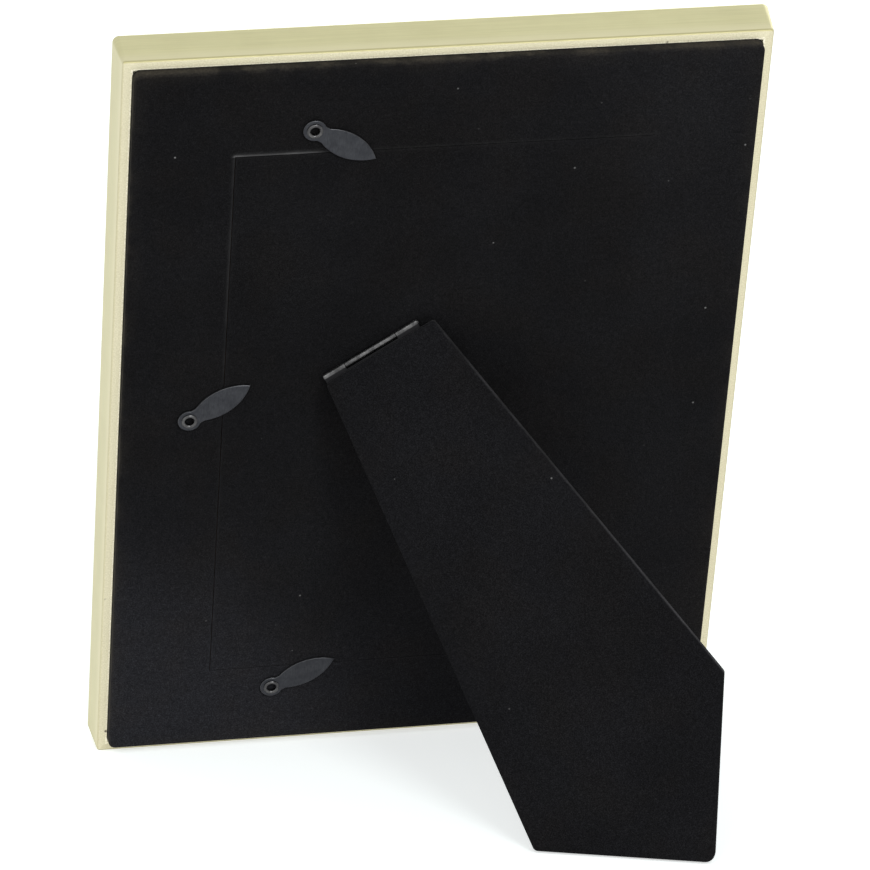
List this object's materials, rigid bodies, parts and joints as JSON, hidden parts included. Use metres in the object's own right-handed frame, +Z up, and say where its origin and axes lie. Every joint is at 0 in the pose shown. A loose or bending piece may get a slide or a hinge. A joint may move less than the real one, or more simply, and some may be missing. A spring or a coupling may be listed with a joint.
{
  "type": "easel back photo frame",
  "caption": "Upright metal photo frame leaning on a hinged five-sided velvet easel leg, with a velvet back whose loading door is held by leaf-shaped turn buttons.",
  "frame": {"origin": "on the table, under the middle of the standing frame's footprint", "axes": "+Z up; -Y the way the picture faces; the frame leans back towards +Y and its leg stands behind it"},
  "size_m": [0.1638, 0.1047, 0.2091],
  "materials": {
    "frame_metal": "satin, pale gold",
    "glass": "clear, ground edges",
    "photo_paper": "blank, matt",
    "card": "grey board",
    "filler": "corrugated",
    "board": "fibreboard, raw",
    "velvet": "short black pile",
    "button_steel": "dull dark nickel",
    "hinge_steel": "dull nickel"
  },
  "bodies": {
    "frame": {"frame_body": "frame_metal", "glass_pane": "glass", "photo_insert": "photo_paper", "backing_card": "card", "filler_pad": "filler", "back_board": "board", "loading_door": "board", "velvet_covering": "velvet", "button_eyelets": "button_steel", "hinge_strap": "hinge_steel"},
    "leg": {"hinge_leaf": "hinge_steel", "hinge_pin": "hinge_steel", "leg_outer_ply": "board", "leg_inner_ply": "board", "leg_velvet": "velvet"},
    "button_top": {"turn_button_top": "button_steel"},
    "button_side": {"turn_button_side": "button_steel"},
    "button_bottom": {"turn_button_bottom": "button_steel"}
  },
  "joints": [
    {"name": "leg_fold", "type": "hinge", "parent": "frame", "child": "leg", "pos_m": [0.0144, -0.00716, 0.12193], "axis": [-0.829, 0.1353, 0.5426], "range_deg": [0, 33.48]},
    {"name": "button_top_turn", "type": "hinge", "parent": "frame", "child": "button_top", "pos_m": [0.0334, 0.00767, 0.18512], "axis": [0, 0.9703, -0.2419], "continuous": true},
    {"name": "button_side_turn", "type": "hinge", "parent": "frame", "child": "button_side", "pos_m": [0.0612, -0.01287, 0.10274], "axis": [0, 0.9703, -0.2419], "continuous": true},
    {"name": "button_bottom_turn", "type": "hinge", "parent": "frame", "child": "button_bottom", "pos_m": [0.0363, -0.03387, 0.01852], "axis": [0, 0.9703, -0.2419], "continuous": true}
  ]
}
